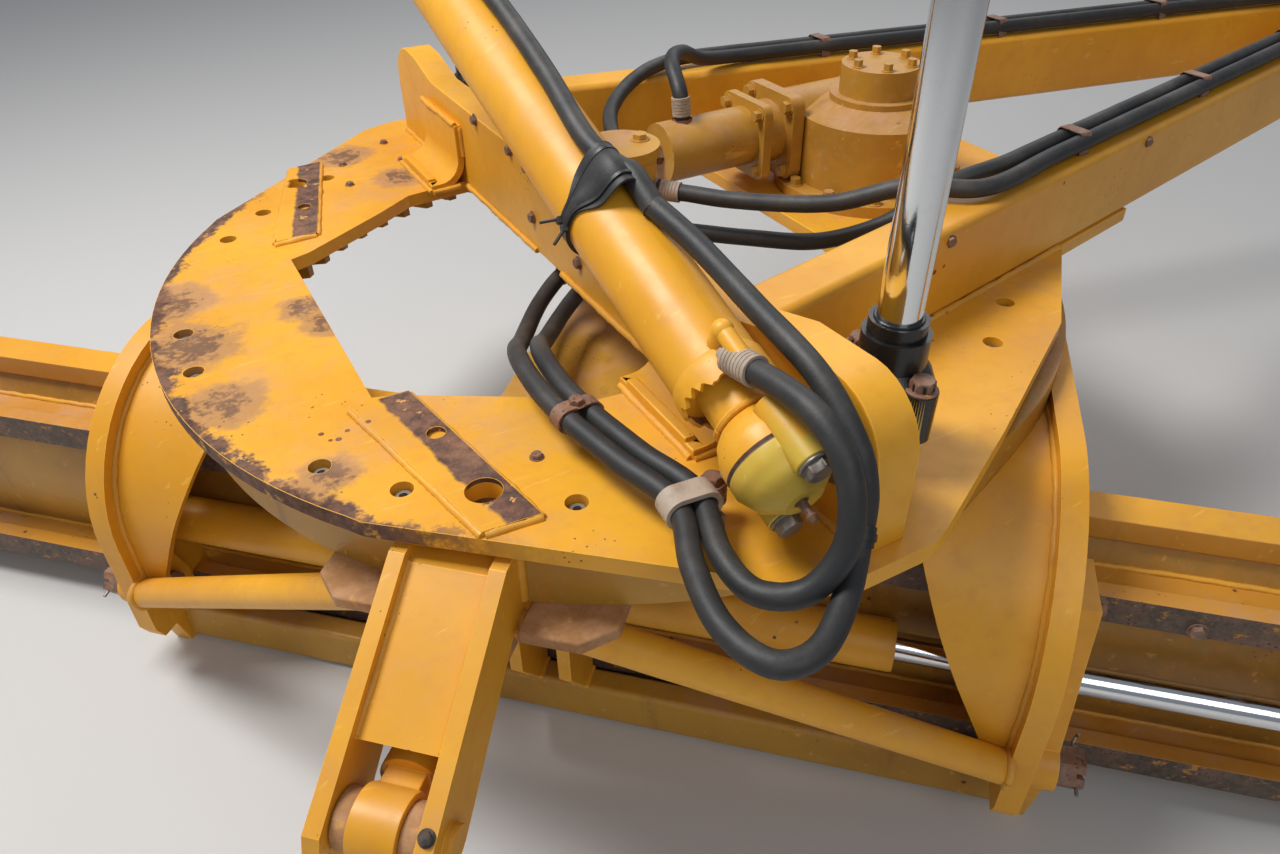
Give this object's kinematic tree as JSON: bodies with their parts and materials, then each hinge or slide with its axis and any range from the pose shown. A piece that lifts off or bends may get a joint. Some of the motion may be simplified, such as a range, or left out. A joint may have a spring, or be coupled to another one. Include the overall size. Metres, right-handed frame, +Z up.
{
  "type": "drawbar, circle and moldboard assembly of a motor grader",
  "caption": "Grader drawbar with a toothed circle, blade arms and a curved moldboard, carried by a draft ball, with its lift, centre-shift, side-shift and tip cylinders.",
  "frame": {"origin": "centre of the draft ball at the drawbar's nose", "axes": "+X forward along the drawbar, +Y left, +Z up; the blade is swung 46.35 degrees at rest"},
  "size_m": [4.1193, 2.6301, 2.7908],
  "materials": {
    "yellow_paint": "construction-yellow paint, satin, chipped and scratched",
    "worn_steel": "rubbed steel with rust and old paint",
    "cutting_steel": "abraded dark steel with surface rust",
    "dusty_primer": "pinkish dust and primer",
    "machined_steel": "machined steel, greasy",
    "chrome_rod": "hard chrome, polished",
    "black_hose": "black hydraulic hose, dusty"
  },
  "bodies": {
    "drawbar": {"drawbar_plate": "yellow_paint", "gearbox_shelf": "yellow_paint", "beam_left": "yellow_paint", "beam_right": "yellow_paint", "nose_block": "yellow_paint", "draft_ball": "machined_steel", "lift_yoke": "yellow_paint", "yoke_gussets": "yellow_paint", "wear_pads": "yellow_paint", "circle_shoes": "worn_steel", "lift_studs": "machined_steel", "centre_shift_stud": "machined_steel", "gearbox": "yellow_paint", "drive_motor": "yellow_paint", "swivel": "yellow_paint", "hose_clamps": "worn_steel", "coupling_plate": "yellow_paint", "loop_hoses": "black_hose", "beam_hoses_right": "black_hose", "beam_hoses_left": "black_hose"},
    "circle": {"circle_ring": "yellow_paint", "arm_left": "yellow_paint", "arm_right": "yellow_paint", "brace_tubes": "yellow_paint", "tube_pads": "dusty_primer", "tip_bracket": "yellow_paint", "hose_arm": "yellow_paint", "pivot_pins": "worn_steel"},
    "pinion": {"drive_pinion": "machined_steel"},
    "carrier": {"carrier_end_left": "yellow_paint", "carrier_end_right": "yellow_paint", "carrier_beam": "yellow_paint", "centre_bracket": "yellow_paint", "side_shift_barrel": "yellow_paint"},
    "blade": {"moldboard": "yellow_paint", "upper_rail": "worn_steel", "lower_rail": "worn_steel", "cutting_edge": "cutting_steel", "end_bits": "cutting_steel", "side_shift_rod": "chrome_rod", "side_shift_anchor": "yellow_paint"},
    "tip_barrel": {"tip_barrel": "yellow_paint"},
    "tip_rod": {"tip_rod": "chrome_rod"},
    "lift_rod_left": {"lift_rod_left": "chrome_rod"},
    "lift_rod_right": {"lift_rod_right": "chrome_rod"},
    "lift_barrel_left": {"lift_barrel_left": "yellow_paint"},
    "lift_barrel_right": {"lift_barrel_right": "yellow_paint"},
    "centre_barrel": {"centre_shift_barrel": "yellow_paint", "barrel_hose": "black_hose"},
    "centre_rod": {"centre_shift_rod": "chrome_rod"}
  },
  "joints": [
    {"name": "circle_turn", "type": "hinge", "parent": "drawbar", "child": "circle", "pos_m": [-2.45, 0, -0.2], "axis": [0, 0, 1], "continuous": true},
    {"name": "pinion_turn", "type": "hinge", "parent": "drawbar", "child": "pinion", "pos_m": [-1.8835, 0, -0.15], "axis": [0, 0, 1], "continuous": true},
    {"name": "blade_tip", "type": "hinge", "parent": "circle", "child": "carrier", "pos_m": [-2.83309, -0.40158, -0.585], "axis": [-0.7236, 0.6903, 0], "range_deg": [-5, 40]},
    {"name": "side_shift", "type": "slide", "parent": "carrier", "child": "blade", "axis": [0.7236, -0.6903, 0], "range_m": [-0.25, 0.5]},
    {"name": "tip_barrel_swing", "type": "hinge", "parent": "circle", "child": "tip_barrel", "pos_m": [-3.16096, -0.74528, -0.305], "axis": [-0.7236, 0.6903, 0], "range_deg": [-2, 7]},
    {"name": "tip_rod_slide", "type": "slide", "parent": "tip_barrel", "child": "tip_rod", "axis": [0.6889, 0.7222, -0.0614], "range_m": [-0.025, 0.17]},
    {"name": "lift_left_swing", "type": "hinge", "parent": "drawbar", "child": "lift_rod_left", "pos_m": [-2.45, 0.695, 0.01], "axis": [1, 0, 0], "range_deg": [-15, 15]},
    {"name": "lift_left_stroke", "type": "slide", "parent": "lift_rod_left", "child": "lift_barrel_left", "axis": [0, 0.0244, 0.9997], "range_m": [-0.45, 0.5]},
    {"name": "lift_right_swing", "type": "hinge", "parent": "drawbar", "child": "lift_rod_right", "pos_m": [-2.45, -0.695, 0.01], "axis": [1, 0, 0], "range_deg": [-15, 15]},
    {"name": "lift_right_stroke", "type": "slide", "parent": "lift_rod_right", "child": "lift_barrel_right", "axis": [0, -0.0244, 0.9997], "range_m": [-0.45, 0.5]},
    {"name": "centre_swing", "type": "hinge", "parent": "drawbar", "child": "centre_barrel", "pos_m": [-2.67, -0.765, 0.04], "axis": [1, 0, 0], "range_deg": [-3, 25], "deforming": ["loop_hoses"]},
    {"name": "centre_stroke", "type": "slide", "parent": "centre_barrel", "child": "centre_rod", "axis": [0, 0.9449, 0.3272], "range_m": [-0.15, 0.4]}
  ],
  "couplings": [
    {"joint": "pinion_turn", "follows": "circle_turn", "ratio": 7.1111},
    {"joint": "tip_barrel_swing", "follows": "blade_tip", "ratio": 0.143},
    {"joint": "tip_rod_slide", "follows": "blade_tip", "m_per_rad": 0.2343}
  ]
}
